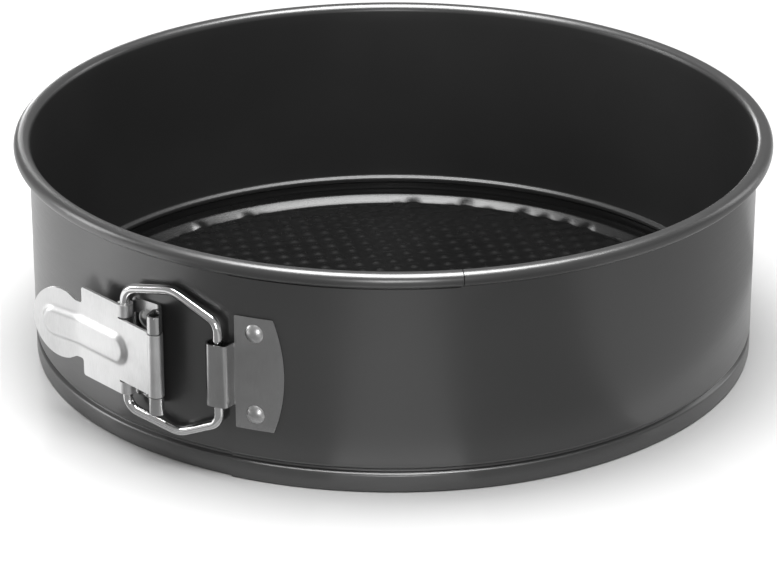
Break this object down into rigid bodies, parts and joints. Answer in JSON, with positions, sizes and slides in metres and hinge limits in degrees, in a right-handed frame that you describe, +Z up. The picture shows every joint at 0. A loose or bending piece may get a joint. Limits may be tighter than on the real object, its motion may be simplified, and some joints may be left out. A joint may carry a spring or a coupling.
{
  "type": "springform pan",
  "caption": "Round springform cake pan: lapped steel band with rolled rim and foot groove, loose waffle-pressed base, and an over-centre lever latch with a wire loop.",
  "frame": {"origin": "centre of the foot circle, on the surface that the pan stands on", "axes": "+Z up along the pan's axis, -Y towards the latch"},
  "size_m": [0.2396, 0.244, 0.0715],
  "materials": {
    "band_coating": "satin non-stick coating",
    "base_coating": "satin non-stick coating",
    "bracket_steel": "bright plated",
    "lever_steel": "satin plated",
    "wire_steel": "bright plated",
    "strike_steel": "satin",
    "rivet_steel": "bright"
  },
  "bodies": {
    "ring": {"wall_band": "band_coating", "base_plate": "base_coating", "hinge_bracket": "bracket_steel", "hinge_pin": "wire_steel", "strike_plate": "strike_steel", "strike_rivet_upper": "rivet_steel", "strike_rivet_lower": "rivet_steel", "bracket_rivet_upper": "rivet_steel", "bracket_rivet_lower": "rivet_steel"},
    "lever": {"lever": "lever_steel"},
    "loop": {"wire_loop": "wire_steel"}
  },
  "joints": [
    {"name": "lever_hinge", "type": "hinge", "parent": "ring", "child": "lever", "pos_m": [-0.01054, -0.12174, 0.0346], "axis": [0, 0, 1], "range_deg": [0, 70]},
    {"name": "loop_hinge", "type": "hinge", "parent": "lever", "child": "loop", "pos_m": [-0.0247, -0.11611, 0.0346], "axis": [0, 0, 1], "range_deg": [-39.6, 0]}
  ],
  "couplings": [
    {"joint": "loop_hinge", "follows": "lever_hinge", "ratio": -0.565}
  ]
}
